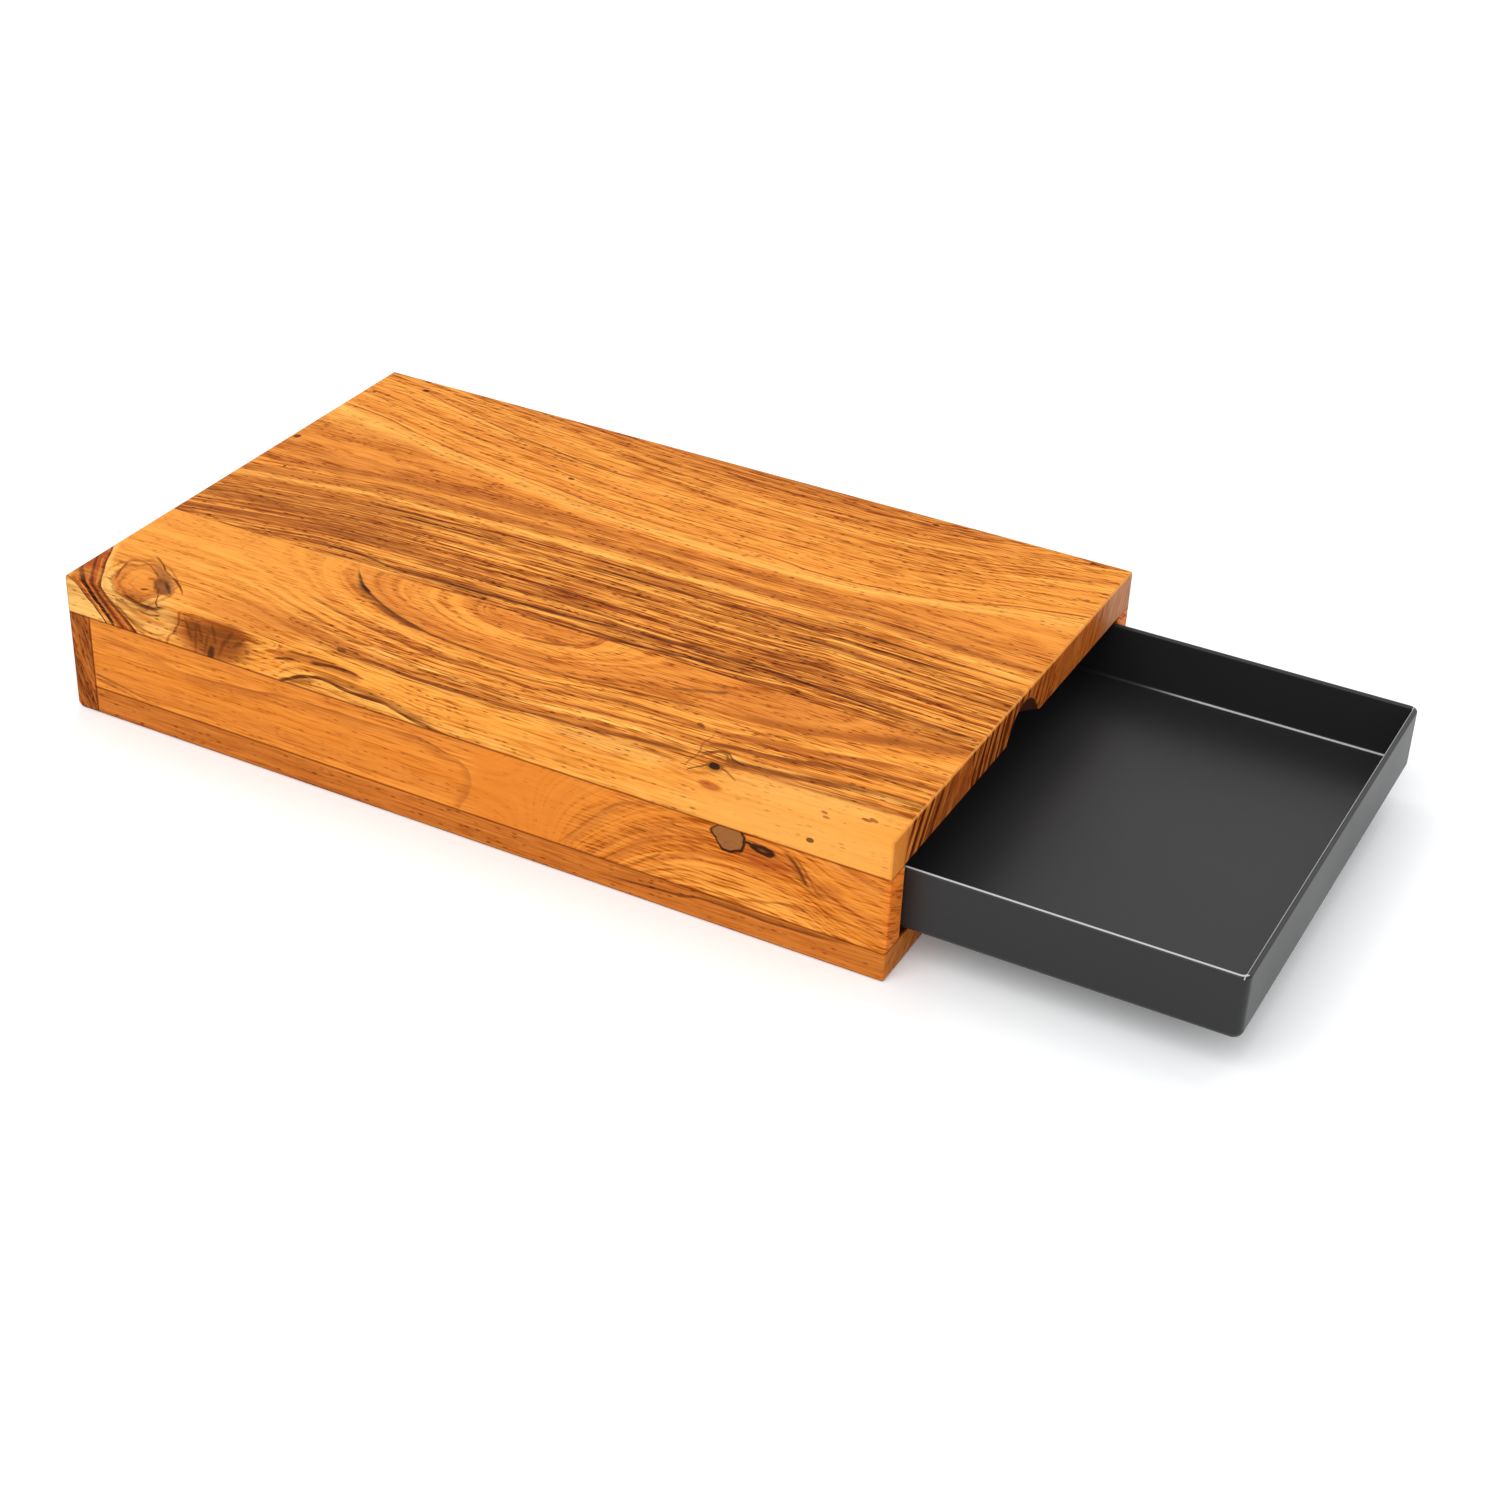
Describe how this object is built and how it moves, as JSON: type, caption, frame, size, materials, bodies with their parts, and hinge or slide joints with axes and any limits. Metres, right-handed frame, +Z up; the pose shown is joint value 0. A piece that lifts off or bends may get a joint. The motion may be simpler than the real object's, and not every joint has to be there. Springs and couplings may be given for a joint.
{
  "type": "cutting board with tray",
  "caption": "Wooden cutting board on a low hollow housing, with a shallow black tray that slides out of one end.",
  "frame": {"origin": "centre of the face that the board stands on, under the middle of the cutting surface", "axes": "+X along the board and out of its open end, the way the tray is pulled; +Y across to the rear long side; +Z up"},
  "size_m": [0.514, 0.2414, 0.0635],
  "materials": {
    "acacia_light": "oiled satin, knots and pale sapwood",
    "acacia_streaked": "oiled satin, dark parallel streaks",
    "acacia_plain": "oiled satin, plain orange grain",
    "acacia_dark": "oiled satin, dark end grain at its ends",
    "acacia_red": "oiled satin, slightly redder straight grain",
    "dowel_beech": "raw",
    "tray_black": "satin black"
  },
  "bodies": {
    "board": {"top_front_stave": "acacia_light", "top_rear_stave": "acacia_streaked", "front_rail": "acacia_plain", "rear_rail": "acacia_plain", "back_rail": "acacia_dark", "bottom_front_stave": "acacia_red", "bottom_rear_stave": "acacia_red", "rail_dowels": "dowel_beech", "bottom_dowels": "dowel_beech"},
    "tray": {"tray": "tray_black"}
  },
  "joints": [
    {"name": "tray_slide", "type": "slide", "parent": "board", "child": "tray", "axis": [1, 0, 0], "range_m": [-0.133, 0.237]}
  ]
}
